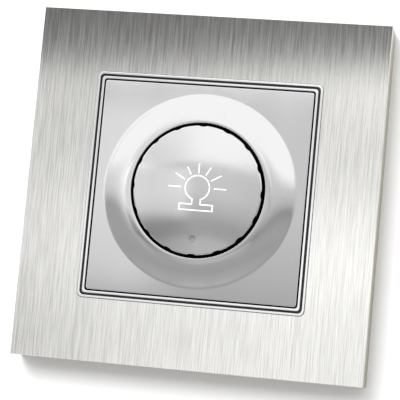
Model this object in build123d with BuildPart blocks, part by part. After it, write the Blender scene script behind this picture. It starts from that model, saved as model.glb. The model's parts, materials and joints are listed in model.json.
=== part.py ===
from build123d import *
import math
import os

os.makedirs("parts", exist_ok=True)

# Directions: X to the right, Z up, front towards -Y. The wall plane is Y = 0.
# A height is a distance in front of the wall, and a negative one lies inside the wall box.

# Cover frame
frame_size = 86.0
frame_depth = 9.5
face_thickness = 1.0
face_edge_break = 0.15
window_size = 55.6
window_corner = 1.4
carrier_wall = 1.6
carrier_front_wall = 2.0
carrier_rib = 1.0
carrier_rib_step = 14.0
carrier_window_wall = 1.3
window_wall_foot = 4.4
strap_clearance = 0.3

# Chrome trim ring
trim_clearance = 0.1
trim_proud = 0.35
bead_width = 0.6
groove_width = 0.5
groove_depth = 0.5
bead_round = 0.2
trim_foot = 3.4
trim_ledge_width = 2.2
trim_ledge_front = 6.2
trim_ledge_thickness = 1.3
barb_length = 8.0
barb_height = 0.8
barb_reach = 0.8
barb_spacing = 28.0

# Centre plate with its raised collar and well
plate_gap = 0.3
plate_proud = 0.3
plate_corner = 0.6
plate_edge_round = 0.25
plate_skin = 1.8
plate_skirt = 1.2
collar_height = 2.5
collar_radius = 23.2
collar_bulge = 0.7
collar_blend = 1.2
rim_width = 0.6
rim_round = 0.2
well_radius = 16.25
well_wall = 1.2
well_floor = 1.4
collar_skin = 1.6
collar_hollow_skin = 2.2

# Knob
knob_gap = 0.65
knob_proud = 1.0
knob_crown = 0.5
knob_edge_round = 0.35
knob_face_wall = 1.4
knob_side_wall = 1.3
flute_count = 16
flute_depth = 0.3
flute_radius = 2.6
marker_radius = 0.85
marker_depth = 0.3
marker_offset = 11.75
hub_radius = 4.6
hub_rib = 1.0
hub_rib_count = 6
push_travel = 1.5
push_clearance = 0.5

# Shaft and bushing
shaft_radius = 3.0
shaft_flat = 1.5
running_clearance = 0.05
bushing_radius = 5.0
bushing_flange_radius = 7.0
bushing_flange = 1.0
bushing_hole_clearance = 0.15
washer_radius = 8.6
washer_thickness = 0.4
nut_across_flats = 14.0
nut_thickness = 2.2
bushing_above_nut = 0.3
shaft_collar_radius = 4.2
shaft_collar_thickness = 0.8
drive_radius = 2.5
drive_flats = 3.6
pusher_radius = 1.4

# Steel strap, for the screws of a 60 mm wall box
strap_size = 71.0
strap_thickness = 1.0
strap_corner = 4.0
box_screw_spacing = 60.0
box_hole_radius = 2.1
box_slot_radius = 2.1
box_slot_sweep = 16.0
opening_clearance = 0.2
strap_flange_length = 24.0
strap_flange_height = 2.0
strap_notch_place = 26.0
strap_notch_radius = 2.4

# Mechanism case
case_size = 49.6
case_cut = 11.0
case_wall = 1.5
platform_inset = 2.5
platform_height = 2.6
platform_wall = 1.4
flange_thickness = 2.5
case_back_clearance = 0.6
terminal_step_depth = 17.5
terminal_step_edge = 13.2
case_screw_edge = 2.8
case_screw_radius = 1.5
case_screw_length = 12.0
case_screw_head_radius = 2.3
case_screw_head = 1.4
case_screw_head_gap = 0.2
case_screw_slot = 0.7
screw_clearance = 0.15
screw_post_radius = 2.7
vent_count = 6
vent_width = 1.2
vent_length = 14.0
vent_pitch = 3.0
case_edge_round = 0.8

# Circuit board
board_clearance = 0.4
board_thickness = 1.6
board_front = -13.0
board_overhang = 0.3
board_pillar = 2.2

# Rotary resistor
pot_radius = 9.0
pot_wall = 0.9
pot_front = 1.0
pot_back = -6.0
pot_front_wall = 0.9
track_outer = 7.6
track_inner = 4.4
track_thickness = 0.5
rotor_radius = 7.0
rotor_thickness = 0.8
rotor_sleeve_radius = 3.6
wiper_width = 1.6
wiper_thickness = 0.35
wiper_radius = 6.0

# Push switch
switch_width = 16.0
switch_wall = 0.8
plunger_clearance = 0.3
plunger_height = 9.0
plunger_thickness = 1.6
plunger_stem_radius = 1.5
plunger_stem_length = 1.8
bridge_length = 13.0
bridge_width = 4.6
bridge_thickness = 0.3
contact_radius = 1.2
contact_place = 5.2
spring_radius = 2.4
spring_wire = 0.2
spring_turns = 3

# Parts on the back of the board
seat_gap = 0.3
choke_edge_gap = 2.1
choke_radius = 7.2
choke_hole = 4.2
choke_core_height = 6.0
winding_thickness = 0.8
winding_turns = 12
capacitor_x = 8.5
capacitor_wall_gap = 0.5
capacitor_length, capacitor_width, capacitor_height = 14.0, 6.5, 9.5
capacitor_edge = 0.3
capacitor_leg_pitch = 10.0
sink_edge_gap = 4.8
sink_fuse_gap = 0.9
sink_width, sink_length, sink_thickness = 13.0, 16.5, 1.2
sink_leg_length = 6.0
sink_back_gap = 0.4
triac_width, triac_length, triac_thickness = 10.0, 9.0, 4.4
triac_tab_thickness = 1.3
triac_tab_length = 6.0
triac_pin = 0.8
triac_pin_pitch = 2.54
triac_pin_reach = 1.2
triac_screw_radius = 1.45
triac_screw_head_radius = 2.6
triac_screw_head = 1.6
fuse_wall_gap = 2.3
fuse_length, fuse_radius = 20.0, 2.6
fuse_cap_length = 5.0
fuse_height = 4.2
clip_width = 4.0
clip_metal = 0.4
resistor_length, resistor_radius = 6.5, 1.1
resistor_x = -10.0
resistor_wall_gap = 0.6
resistor_pitch = 2.6
resistor_count = 3
lead_radius = 0.35
leg_radius = 0.28

# Terminals
terminal_count = 3
terminal_wall_gap = 1.1
terminal_corner_gap = 0.48
entry_size = 5.2
entry_funnel = 0.5
cage_width = 6.6
cage_wall = 0.8
cage_bore = 5.0
cage_depth = 8.0
cage_back = -14.8
terminal_wall = 1.2
terminal_screw_radius = 1.6
terminal_head_radius = 2.6
terminal_head = 1.6
terminal_head_recess = 0.4
terminal_screw_tip = 0.2
terminal_access_clearance = 0.3
terminal_slot = 0.8
solder_tail_width = 2.4
solder_tail = 0.8

# Heights that follow from the sizes above
face_back = frame_depth - face_thickness
carrier_cavity = face_back - carrier_front_wall
trim_size = window_size - 2 * trim_clearance
trim_wall = 2 * bead_width + groove_width
trim_opening = trim_size - 2 * trim_wall
trim_front = frame_depth + trim_proud
plate_size = trim_opening - 2 * plate_gap
plate_front = frame_depth + plate_proud
collar_top = plate_front + collar_height
rim_radius = well_radius + rim_width
well_bottom = platform_height + well_floor
nut_back = well_bottom + washer_thickness
nut_front = nut_back + nut_thickness
bushing_front = nut_front + bushing_above_nut
knob_radius = well_radius - knob_gap
knob_top = collar_top + knob_proud
knob_rim = knob_top - knob_crown
knob_foot = well_bottom + push_travel + push_clearance
crown_radius = (knob_radius**2 + knob_crown**2) / (2 * knob_crown)
knob_ceiling = knob_top - knob_face_wall
hub_foot = bushing_front + push_travel + push_clearance
shaft_tip = knob_ceiling - seat_gap
shaft_bore = shaft_radius + running_clearance
flat_distance = shaft_radius - shaft_flat
board_back = board_front - board_thickness
pot_inner_front = pot_front - pot_front_wall
pot_inner_back = pot_back + pot_wall
bushing_back = pot_inner_front - bushing_flange
shaft_collar_front = bushing_back - running_clearance
shaft_collar_back = shaft_collar_front - shaft_collar_thickness
drive_hole = drive_radius + running_clearance
rotor_front = shaft_collar_back - push_travel - 2 * running_clearance
rotor_back = rotor_front - rotor_thickness
sleeve_back = pot_back + running_clearance
switch_hollow = switch_width - 2 * switch_wall
switch_front = pot_back
switch_inner_front = switch_front - switch_wall
switch_inner_back = board_front + switch_wall
plunger_front = switch_inner_front - seat_gap
plunger_back = plunger_front - plunger_thickness
shaft_back = plunger_front + running_clearance
bridge_back = plunger_back - bridge_thickness
contact_front = bridge_back - push_travel - running_clearance
case_inner_depth = seat_gap + capacitor_height + case_back_clearance - board_back
case_depth = case_inner_depth + case_wall
case_half = case_size / 2
case_inner_half = case_half - case_wall
case_inner_cut = case_cut - case_wall * (2 - math.sqrt(2))
chamber_edge = case_wall - terminal_step_edge

# Places in the case: the screws stand off its cut corners, and the rest is set against its inner walls
case_screw_place = (case_size - case_cut - math.sqrt(2) * case_screw_edge) / 2
platform_size = case_size - 2 * platform_inset
platform_screw_room = math.sqrt(2) * (case_screw_head_radius + case_screw_head_gap)
platform_cut = platform_size - 2 * case_screw_place + platform_screw_room
board_width = 2 * (case_inner_half - board_clearance)
board_post_room = math.sqrt(2) * (screw_post_radius + board_clearance)
board_cut = board_width - 2 * case_screw_place + board_post_room
board_lower_edge = chamber_edge - board_overhang
clip_inner = fuse_radius + running_clearance
clip_outer = clip_inner + clip_metal
fuse_z = case_inner_half - fuse_wall_gap - fuse_radius
fuse_edge = fuse_z - clip_outer
sink_x = case_inner_half - sink_edge_gap - sink_width / 2
sink_z = fuse_edge - sink_fuse_gap - sink_length / 2
capacitor_z = chamber_edge + capacitor_wall_gap + capacitor_width / 2
resistor_z = chamber_edge + resistor_wall_gap + resistor_radius
resistor_edge = resistor_z + (resistor_count - 1) * resistor_pitch + resistor_radius
choke_outer = choke_radius + winding_thickness
choke_x = choke_outer + choke_edge_gap + board_pillar - case_inner_half
choke_z = (fuse_edge + resistor_edge) / 2
cage_low = terminal_wall_gap - case_inner_half
terminal_z = cage_low + cage_wall + cage_bore / 2
cage_high = terminal_z + cage_bore / 2 + cage_wall
terminal_row = 2 * case_inner_half - case_inner_cut + cage_low - terminal_corner_gap - cage_width / 2
terminal_pitch = 2 * terminal_row / (terminal_count - 1)

# Sketch planes: one parallel to the wall at a height, and one for turned profiles
TURNED = Plane(origin=(0, 0, 0), x_dir=(1, 0, 0), z_dir=(0, 0, -1))


def level(height):
    return Plane.XZ.offset(height)


def cut_square(width, corner_cut, mode=Mode.ADD):
    half = width / 2
    near = half - corner_cut
    Polygon(
        (half, near), (near, half), (-near, half), (-half, near),
        (-half, -near), (-near, -half), (near, -half), (half, -near),
        align=None, mode=mode,
    )


def ring_profile(inner, outer, back, front):
    with Locations(((inner + outer) / 2, (back + front) / 2)):
        Rectangle(outer - inner, front - back)


def circle_edges(builder, height, radius):
    circles = builder.edges().filter_by(GeomType.CIRCLE)
    at_height = [edge for edge in circles if abs(edge.arc_center.Y + height) < 0.01]
    return [edge for edge in at_height if abs(edge.radius - radius) < 0.01]


def crown_height(radius):
    return knob_top - crown_radius + math.sqrt(crown_radius**2 - radius**2)


def terminal_places():
    first = -terminal_pitch * (terminal_count - 1) / 2
    return [(first + number * terminal_pitch, terminal_z) for number in range(terminal_count)]


def clamp_screw_places():
    return [(place_x, -clamp_screw_height) for place_x, place_z in terminal_places()]


def case_screw_places():
    place = case_screw_place
    return [(place, place), (-place, place), (-place, -place), (place, -place)]


# Face sheet: flat brushed sheet with a square window
with BuildPart() as face_sheet:
    with BuildSketch(level(face_back)):
        Rectangle(frame_size, frame_size)
        RectangleRounded(window_size, window_size, window_corner, mode=Mode.SUBTRACT)
    extrude(amount=face_thickness)
    front_edges = face_sheet.faces().sort_by(Axis.Y)[0].outer_wire().edges()
    chamfer(front_edges, face_edge_break)
face_sheet.part.label = "face_sheet"
export_step(face_sheet.part, "parts/face_sheet.step")

# Frame carrier: moulded shell, open at the back, with a wall round the window and ribs between the walls
with BuildPart() as frame_carrier:
    with BuildSketch(level(0)):
        Rectangle(frame_size, frame_size)
    extrude(amount=face_back)
    with BuildSketch(level(0)):
        Rectangle(frame_size - 2 * carrier_wall, frame_size - 2 * carrier_wall)
    extrude(amount=carrier_cavity, mode=Mode.SUBTRACT)
    window_tube = window_size + 2 * carrier_window_wall
    with BuildSketch(level(window_wall_foot)):
        RectangleRounded(window_tube, window_tube, window_corner + carrier_window_wall)
    extrude(amount=carrier_cavity - window_wall_foot)
    rib_span = (frame_size - window_tube) / 2 - carrier_wall
    rib_centre = window_tube / 2 + rib_span / 2
    rib_foot = strap_thickness + strap_clearance
    rib_place = carrier_rib_step
    with BuildSketch(level(rib_foot)):
        for side in (-1, 1):
            with Locations((rib_place * side, rib_centre), (rib_place * side, -rib_centre)):
                Rectangle(carrier_rib, rib_span)
            with Locations((rib_centre, rib_place * side), (-rib_centre, rib_place * side)):
                Rectangle(rib_span, carrier_rib)
    extrude(amount=carrier_cavity - rib_foot)
    with BuildSketch(level(0)):
        RectangleRounded(window_size, window_size, window_corner)
    extrude(amount=face_back, mode=Mode.SUBTRACT)
frame_carrier.part.label = "frame_carrier"
export_step(frame_carrier.part, "parts/frame_carrier.step")

# Trim ring: two chromed beads with a groove between, a ledge for the centre plate and barbs behind
with BuildPart() as trim_ring:
    trim_corner = window_corner - trim_clearance
    inner_corner = plate_corner + plate_gap / 2
    with BuildSketch(level(trim_foot)):
        RectangleRounded(trim_size, trim_size, trim_corner)
    extrude(amount=trim_front - trim_foot)
    with BuildSketch(level(trim_foot)):
        RectangleRounded(trim_opening, trim_opening, inner_corner)
    extrude(amount=trim_front - trim_foot, mode=Mode.SUBTRACT)
    groove_outer = trim_size - 2 * bead_width
    groove_inner = groove_outer - 2 * groove_width
    with BuildSketch(level(trim_front - groove_depth)):
        RectangleRounded(groove_outer, groove_outer, trim_corner - bead_width / 2)
        RectangleRounded(groove_inner, groove_inner, inner_corner, mode=Mode.SUBTRACT)
    extrude(amount=groove_depth, mode=Mode.SUBTRACT)
    bead_edges = trim_ring.faces().filter_by(Axis.Y).group_by(Axis.Y)[0].edges()
    fillet(bead_edges, bead_round)
    with BuildSketch(level(trim_ledge_front - trim_ledge_thickness)):
        RectangleRounded(trim_size - trim_wall, trim_size - trim_wall, inner_corner)
        ledge_opening = trim_opening - 2 * trim_ledge_width
        RectangleRounded(ledge_opening, ledge_opening, inner_corner, mode=Mode.SUBTRACT)
    extrude(amount=trim_ledge_thickness)
    barb_centre = trim_size / 2 + barb_reach / 2
    with BuildSketch(level(trim_foot)):
        for along in (-barb_spacing / 2, barb_spacing / 2):
            with Locations((along, barb_centre), (along, -barb_centre)):
                Rectangle(barb_length, barb_reach)
            with Locations((barb_centre, along), (-barb_centre, along)):
                Rectangle(barb_reach, barb_length)
    extrude(amount=barb_height)
trim_ring.part.label = "trim_ring"
export_step(trim_ring.part, "parts/trim_ring.step")

# Centre plate: square skin with a skirt, a domed collar round the knob, and a well with a floor
under_skin = plate_front - plate_skin
skirt_opening = plate_size - 2 * plate_skirt
collar_middle_radius = (rim_radius + collar_radius) / 2
collar_middle = plate_front + collar_height / 2 + collar_bulge
collar_foot = plate_front - plate_skin / 2
hollow_top = collar_top - collar_hollow_skin
hollow_inner = well_radius + well_wall
hollow_outer = collar_radius - collar_skin
with BuildPart() as centre_plate:
    with BuildSketch(level(under_skin)):
        RectangleRounded(plate_size, plate_size, plate_corner)
    extrude(amount=plate_skin)
    plate_edges = centre_plate.faces().sort_by(Axis.Y)[0].edges()
    fillet(plate_edges, plate_edge_round)
    with BuildSketch(level(trim_ledge_front)):
        RectangleRounded(plate_size, plate_size, plate_corner)
        Rectangle(skirt_opening, skirt_opening, mode=Mode.SUBTRACT)
    extrude(amount=under_skin - trim_ledge_front)
    with BuildSketch(TURNED):
        with BuildLine():
            Polyline((0, collar_foot), (0, collar_top), (rim_radius, collar_top))
            ThreePointArc(
                (rim_radius, collar_top),
                (collar_middle_radius, collar_middle),
                (collar_radius, plate_front),
            )
            Polyline((collar_radius, plate_front), (collar_radius, collar_foot), (0, collar_foot))
        make_face()
    revolve(axis=Axis.Y)
    fillet(circle_edges(centre_plate, plate_front, collar_radius), collar_blend)
    with BuildSketch(TURNED):
        ring_profile(0, hollow_inner, platform_height, plate_front)
    revolve(axis=Axis.Y)
    with BuildSketch(TURNED):
        with BuildLine():
            Polyline(
                (hollow_inner, under_skin),
                (hollow_inner, hollow_top),
                (rim_radius + collar_skin, hollow_top),
                (hollow_outer, under_skin),
                close=True,
            )
        make_face()
    revolve(axis=Axis.Y, mode=Mode.SUBTRACT)
    with BuildSketch(TURNED):
        ring_profile(0, well_radius, well_bottom, collar_top)
    revolve(axis=Axis.Y, mode=Mode.SUBTRACT)
    with BuildSketch(level(platform_height)):
        Circle(bushing_radius + bushing_hole_clearance)
    extrude(amount=well_floor, mode=Mode.SUBTRACT)
    fillet(circle_edges(centre_plate, collar_top, well_radius), rim_round)
centre_plate.part.label = "centre_plate"
export_step(centre_plate.part, "parts/centre_plate.step")

# Knob: crowned cap with fluted side, ribbed inside, and a hub with a flatted bore
marker_ball = (marker_radius**2 + marker_depth**2) / (2 * marker_depth)
marker_middle = crown_height(marker_offset) - marker_depth + marker_ball
with BuildPart() as knob:
    with BuildSketch(TURNED):
        ring_profile(0, knob_radius, knob_foot, knob_top)
    revolve(axis=Axis.Y)
    with Locations((0, crown_radius - knob_top, 0)):
        Sphere(crown_radius, mode=Mode.INTERSECT)
    fillet(circle_edges(knob, knob_rim, knob_radius), knob_edge_round)
    flute_centre = knob_radius + flute_radius - flute_depth
    with BuildSketch(level(knob_foot)):
        with PolarLocations(flute_centre, flute_count):
            Circle(flute_radius)
    extrude(amount=knob_top - knob_foot, mode=Mode.SUBTRACT)
    with BuildSketch(level(knob_foot)):
        Circle(knob_radius - knob_side_wall)
    extrude(amount=knob_ceiling - knob_foot, mode=Mode.SUBTRACT)
    rib_foot = hub_foot + push_clearance
    with BuildSketch(level(rib_foot)):
        with PolarLocations(knob_radius / 2, hub_rib_count, start_angle=90 / hub_rib_count):
            Rectangle(knob_radius - knob_side_wall, hub_rib)
    extrude(amount=knob_ceiling - rib_foot)
    with BuildSketch(level(hub_foot)):
        Circle(hub_radius)
    extrude(amount=knob_ceiling - hub_foot)
    with BuildSketch(level(hub_foot)):
        Circle(shaft_bore)
        with Locations((0, -shaft_bore - flat_distance)):
            Rectangle(2 * shaft_bore, 2 * shaft_bore, mode=Mode.SUBTRACT)
    extrude(amount=knob_ceiling - hub_foot, mode=Mode.SUBTRACT)
    with Locations((0, -marker_middle, -marker_offset)):
        Sphere(marker_ball, mode=Mode.SUBTRACT)
knob.part.label = "knob"
export_step(knob.part, "parts/knob.step")

# Plate nut: hexagon nut on the bushing thread
with BuildPart() as plate_nut:
    with BuildSketch(level(nut_back)):
        RegularPolygon(nut_across_flats / 2, 6, major_radius=False)
        Circle(bushing_radius + running_clearance, mode=Mode.SUBTRACT)
    extrude(amount=nut_thickness)
    corner_radius = nut_across_flats / math.sqrt(3)
    with BuildSketch(TURNED):
        with BuildLine():
            Polyline(
                (corner_radius - nut_thickness / 4, nut_front),
                (corner_radius + nut_thickness, nut_front),
                (corner_radius + nut_thickness, nut_front - nut_thickness / 2),
                close=True,
            )
        make_face()
    revolve(axis=Axis.Y, mode=Mode.SUBTRACT)
plate_nut.part.label = "plate_nut"
export_step(plate_nut.part, "parts/plate_nut.step")

# Nut washer
with BuildPart() as nut_washer:
    with BuildSketch(level(well_bottom)):
        Circle(washer_radius)
        Circle(bushing_radius + bushing_hole_clearance, mode=Mode.SUBTRACT)
    extrude(amount=washer_thickness)
nut_washer.part.label = "nut_washer"
export_step(nut_washer.part, "parts/nut_washer.step")

# Support strap: pressed steel plate with fixing holes, curved slots and two bent side flanges
strap_opening = platform_size + 2 * opening_clearance
half_spacing = box_screw_spacing / 2
with BuildPart() as support_strap:
    with BuildSketch(level(0)):
        RectangleRounded(strap_size, strap_size, strap_corner)
        cut_square(strap_opening, platform_cut, mode=Mode.SUBTRACT)
        with Locations((0, half_spacing), (0, -half_spacing)):
            Circle(box_hole_radius, mode=Mode.SUBTRACT)
        for middle in (0, 180):
            with BuildLine() as slot_line:
                CenterArc((0, 0), half_spacing, middle - box_slot_sweep / 2, box_slot_sweep)
            SlotArc(slot_line.edge(), 2 * box_slot_radius, mode=Mode.SUBTRACT)
        with Locations(case_screw_places()):
            Circle(case_screw_radius + screw_clearance, mode=Mode.SUBTRACT)
        with GridLocations(2 * strap_notch_place, strap_size, 2, 2):
            Circle(strap_notch_radius, mode=Mode.SUBTRACT)
    extrude(amount=strap_thickness)
    with BuildSketch(level(0)):
        with GridLocations(strap_size - strap_thickness, 0, 2, 1):
            Rectangle(strap_thickness, strap_flange_length)
    extrude(amount=strap_thickness + strap_flange_height)
support_strap.part.label = "support_strap"
export_step(support_strap.part, "parts/support_strap.step")

# Front housing: flange behind the strap, and a platform that stands through its opening
with BuildPart() as front_housing:
    with BuildSketch(level(-flange_thickness)):
        cut_square(case_size, case_cut)
    extrude(amount=flange_thickness)
    with BuildSketch(level(0)):
        cut_square(platform_size, platform_cut)
    extrude(amount=platform_height)
    platform_edges = front_housing.faces().sort_by(Axis.Y)[0].edges()
    chamfer(platform_edges, platform_wall / 3)
    with BuildSketch(level(-flange_thickness)):
        cut_square(platform_size - 2 * platform_wall, platform_cut)
    extrude(amount=flange_thickness + platform_height - platform_wall, mode=Mode.SUBTRACT)
    with BuildSketch(level(-flange_thickness)):
        Circle(bushing_radius + bushing_hole_clearance)
        with Locations(case_screw_places()):
            Circle(case_screw_radius + screw_clearance)
    extrude(amount=flange_thickness + platform_height, mode=Mode.SUBTRACT)
front_housing.part.label = "front_housing"
export_step(front_housing.part, "parts/front_housing.step")

# Rear housing: deep case with a step for the wires, screw posts, board pillars, chamber walls and vents
step_height = case_half - terminal_step_edge
step_floor = terminal_step_depth - case_wall
pillar_place = case_inner_half - board_pillar / 2
clamp_screw_height = cage_back + cage_depth / 2
access_depth = terminal_head_recess + terminal_head + seat_gap
case_screw_depth = case_screw_length - strap_thickness - flange_thickness + seat_gap
with BuildPart() as rear_housing:
    with BuildSketch(level(-case_depth)):
        cut_square(case_size, case_cut)
    extrude(amount=case_depth - flange_thickness)
    back_edges = rear_housing.faces().sort_by(Axis.Y)[-1].edges()
    fillet(back_edges, case_edge_round)
    with BuildSketch(level(-case_depth)):
        with Locations((0, -case_half + step_height / 2)):
            Rectangle(case_size, step_height)
    extrude(amount=case_depth - terminal_step_depth, mode=Mode.SUBTRACT)
    with BuildSketch(level(-case_inner_depth)):
        cut_square(2 * case_inner_half, case_inner_cut)
        with Locations((0, chamber_edge - case_half)):
            Rectangle(case_size, case_size, mode=Mode.SUBTRACT)
    extrude(amount=case_inner_depth - flange_thickness, mode=Mode.SUBTRACT)
    with BuildSketch(level(-step_floor)):
        cut_square(2 * case_inner_half, case_inner_cut)
        with Locations((0, chamber_edge + case_half)):
            Rectangle(case_size, case_size, mode=Mode.SUBTRACT)
    extrude(amount=step_floor - flange_thickness, mode=Mode.SUBTRACT)
    with BuildSketch(level(-case_inner_depth)):
        with Locations([place for place in case_screw_places() if place[1] > 0]):
            Circle(screw_post_radius)
    extrude(amount=case_inner_depth - flange_thickness)
    with BuildSketch(level(-step_floor)):
        with Locations([place for place in case_screw_places() if place[1] < 0]):
            Circle(screw_post_radius)
    extrude(amount=step_floor - flange_thickness)
    with BuildSketch(level(-case_inner_depth)):
        with Locations((pillar_place, choke_z), (-pillar_place, choke_z), (0, pillar_place)):
            Rectangle(board_pillar, board_pillar)
    extrude(amount=case_inner_depth + board_back)
    with BuildSketch(level(-step_floor)):
        with Locations((0, (cage_high - case_inner_half) / 2)):
            with GridLocations(terminal_pitch, 0, terminal_count - 1, 1):
                Rectangle(terminal_wall, cage_high + case_inner_half)
    extrude(amount=step_floor + cage_back + cage_depth)
    with BuildSketch(level(-terminal_step_depth)):
        with Locations(terminal_places()):
            Rectangle(entry_size, entry_size)
    extrude(amount=case_wall, mode=Mode.SUBTRACT)
    with BuildSketch(level(-terminal_step_depth)):
        with Locations(terminal_places()):
            Rectangle(entry_size + 2 * entry_funnel, entry_size + 2 * entry_funnel)
    extrude(amount=entry_funnel, taper=45, mode=Mode.SUBTRACT)
    with BuildSketch(Plane.XY.offset(-case_half)):
        with Locations(clamp_screw_places()):
            Circle(terminal_head_radius + terminal_access_clearance)
    extrude(amount=access_depth, mode=Mode.SUBTRACT)
    with BuildSketch(level(-case_depth)):
        with Locations((0, (case_half - terminal_step_edge) / 2)):
            with GridLocations(vent_pitch, 0, vent_count, 1):
                Rectangle(vent_width, vent_length)
    extrude(amount=case_wall, mode=Mode.SUBTRACT)
    with BuildSketch(level(-flange_thickness)):
        with Locations(case_screw_places()):
            Circle(case_screw_radius)
    extrude(amount=-case_screw_depth, mode=Mode.SUBTRACT)
rear_housing.part.label = "rear_housing"
export_step(rear_housing.part, "parts/rear_housing.step")

# Housing screws: pan-head screws through strap and front housing into the posts
with BuildPart() as housing_screws:
    with BuildSketch(level(strap_thickness)):
        with Locations(case_screw_places()):
            Circle(case_screw_head_radius)
    extrude(amount=case_screw_head)
    chamfer(housing_screws.faces().filter_by(Axis.Y).group_by(Axis.Y)[0].edges(), case_screw_head / 3)
    with BuildSketch(level(strap_thickness)):
        with Locations(case_screw_places()):
            Circle(case_screw_radius)
    extrude(amount=-case_screw_length)
    with BuildSketch(level(strap_thickness + case_screw_head)):
        with Locations(case_screw_places()):
            Rectangle(2 * case_screw_head_radius, case_screw_slot)
    extrude(amount=-case_screw_slot, mode=Mode.SUBTRACT)
housing_screws.part.label = "housing_screws"
export_step(housing_screws.part, "parts/housing_screws.step")

# Pot case: round can of the rotary resistor
with BuildPart() as pot_case:
    with BuildSketch(TURNED):
        ring_profile(0, pot_radius, pot_back, pot_front)
    revolve(axis=Axis.Y)
    with BuildSketch(TURNED):
        ring_profile(0, pot_radius - pot_wall, pot_inner_back, pot_inner_front)
        ring_profile(0, bushing_radius + running_clearance, pot_inner_front, pot_front)
        ring_profile(0, rotor_sleeve_radius + running_clearance, pot_back, pot_inner_back)
    revolve(axis=Axis.Y, mode=Mode.SUBTRACT)
pot_case.part.label = "pot_case"
export_step(pot_case.part, "parts/pot_case.step")

# Shaft bushing: barrel with a flange that is held in the pot case
with BuildPart() as shaft_bushing:
    with BuildSketch(TURNED):
        ring_profile(shaft_bore, bushing_radius, bushing_back, bushing_front)
        ring_profile(shaft_bore, bushing_flange_radius, bushing_back, pot_inner_front)
    revolve(axis=Axis.Y)
    bushing_rim = circle_edges(shaft_bushing, bushing_front, bushing_radius)
    chamfer(bushing_rim, bushing_above_nut)
shaft_bushing.part.label = "shaft_bushing"
export_step(shaft_bushing.part, "parts/shaft_bushing.step")

# Control shaft: flatted at the front for the knob, collared in the pot, with a two-flat drive and a pusher
with BuildPart() as control_shaft:
    with BuildSketch(TURNED):
        ring_profile(0, shaft_radius, shaft_collar_front, shaft_tip)
        ring_profile(0, shaft_collar_radius, shaft_collar_back, shaft_collar_front)
        ring_profile(0, pusher_radius, shaft_back, shaft_collar_back)
    revolve(axis=Axis.Y)
    with BuildSketch(level(hub_foot)):
        with Locations((0, -shaft_radius - flat_distance + running_clearance)):
            Rectangle(2 * shaft_radius, 2 * shaft_radius)
    extrude(amount=shaft_tip - hub_foot, mode=Mode.SUBTRACT)
    with BuildSketch(level(shaft_collar_back)):
        Circle(drive_radius)
        Rectangle(2 * drive_radius, drive_flats, mode=Mode.INTERSECT)
    extrude(amount=sleeve_back - shaft_collar_back)
control_shaft.part.label = "control_shaft"
export_step(control_shaft.part, "parts/control_shaft.step")

# Track disc: ring board that carries the resistor track
with BuildPart() as track_disc:
    with BuildSketch(level(pot_inner_back)):
        Circle(track_outer)
        Circle(track_inner, mode=Mode.SUBTRACT)
    extrude(amount=track_thickness)
track_disc.part.label = "track_disc"
export_step(track_disc.part, "parts/track_disc.step")

# Track rotor: disc and sleeve, keyed to the drive of the shaft, which slides through it
with BuildPart() as track_rotor:
    with BuildSketch(level(rotor_back)):
        Circle(rotor_radius)
    extrude(amount=rotor_thickness)
    with BuildSketch(level(sleeve_back)):
        Circle(rotor_sleeve_radius)
    extrude(amount=rotor_back - sleeve_back)
    with BuildSketch(level(sleeve_back)):
        Circle(drive_hole)
        Rectangle(2 * drive_hole, drive_flats + 2 * running_clearance, mode=Mode.INTERSECT)
    extrude(amount=rotor_front - sleeve_back, mode=Mode.SUBTRACT)
track_rotor.part.label = "track_rotor"
export_step(track_rotor.part, "parts/track_rotor.step")

# Wiper: spring contact under the rotor, with two fingers on the track
with BuildPart() as wiper:
    with BuildSketch(level(rotor_back)):
        with BuildLine() as wiper_line:
            CenterArc((0, 0), wiper_radius, 30, 120)
        SlotArc(wiper_line.edge(), wiper_width)
        with Locations((0, wiper_radius)):
            Circle(wiper_width / 4, mode=Mode.SUBTRACT)
    extrude(amount=-wiper_thickness)
wiper.part.label = "wiper"
export_step(wiper.part, "parts/wiper.step")

# Switch case: square box behind the pot
with BuildPart() as switch_case:
    with BuildSketch(level(board_front)):
        RectangleRounded(switch_width, switch_width, switch_wall)
    extrude(amount=switch_front - board_front)
    with BuildSketch(level(switch_inner_back)):
        Rectangle(switch_hollow, switch_hollow)
    extrude(amount=switch_inner_front - switch_inner_back, mode=Mode.SUBTRACT)
    with BuildSketch(level(switch_inner_front)):
        Circle(rotor_sleeve_radius + running_clearance)
    extrude(amount=switch_wall, mode=Mode.SUBTRACT)
switch_case.part.label = "switch_case"
export_step(switch_case.part, "parts/switch_case.step")

# Switch plunger: block guided by the case, with a stem for the spring
with BuildPart() as switch_plunger:
    with BuildSketch(level(plunger_back)):
        Rectangle(switch_hollow - 2 * plunger_clearance, plunger_height)
    extrude(amount=plunger_thickness)
    with BuildSketch(level(plunger_back)):
        Circle(plunger_stem_radius)
    extrude(amount=-plunger_stem_length)
switch_plunger.part.label = "switch_plunger"
export_step(switch_plunger.part, "parts/switch_plunger.step")

# Contact bridge: strip behind the plunger that joins the fixed contacts
with BuildPart() as contact_bridge:
    with BuildSketch(level(plunger_back)):
        SlotOverall(bridge_length, bridge_width)
        Circle(plunger_stem_radius + running_clearance, mode=Mode.SUBTRACT)
    extrude(amount=-bridge_thickness)
contact_bridge.part.label = "contact_bridge"
export_step(contact_bridge.part, "parts/contact_bridge.step")

# Fixed contacts: two rivets in the switch case
with BuildPart() as fixed_contacts:
    with BuildSketch(level(switch_inner_back)):
        with Locations((contact_place, 0), (-contact_place, 0)):
            Circle(contact_radius)
    extrude(amount=contact_front - switch_inner_back)
    chamfer(fixed_contacts.faces().filter_by(Axis.Y).group_by(Axis.Y)[0].edges(), contact_radius / 3)
fixed_contacts.part.label = "fixed_contacts"
export_step(fixed_contacts.part, "parts/fixed_contacts.step")

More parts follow.
